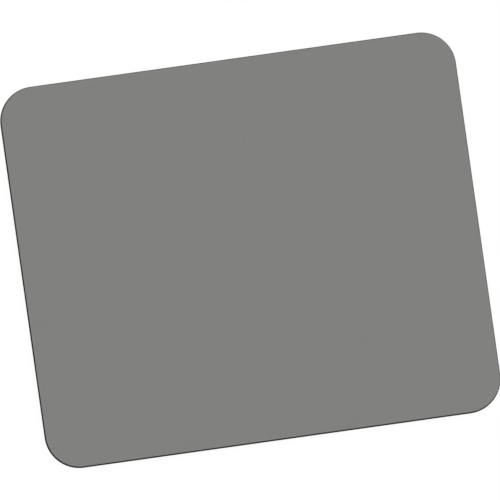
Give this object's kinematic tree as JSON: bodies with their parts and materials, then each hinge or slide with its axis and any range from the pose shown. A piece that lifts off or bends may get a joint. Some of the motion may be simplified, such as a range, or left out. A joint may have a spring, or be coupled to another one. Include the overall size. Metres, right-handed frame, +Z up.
{
  "type": "mouse pad",
  "caption": "Rectangular mouse pad with rounded corners: a smooth knitted top on a sponge rubber base with a wavy anti-slip tread, for a pointing device to slide on.",
  "frame": {"origin": "on the desk, under the middle of the pad", "axes": "+X to the user's right along the longer side, +Y away from the user, +Z up out of the surface that the mouse slides on"},
  "size_m": [0.235, 0.1966, 0.006],
  "materials": {
    "sponge_rubber": "matt black closed-cell sponge, skinned underneath and cut open at the edge",
    "melt_film": "thin hot-melt film, slightly glossy at its cut edge",
    "knit_cloth": "fine close-knitted polyester, plain mid grey, heat-pressed smooth"
  },
  "bodies": {
    "root": {"sponge_base": "sponge_rubber", "bond_film": "melt_film", "cloth_top": "knit_cloth"}
  },
  "joints": []
}
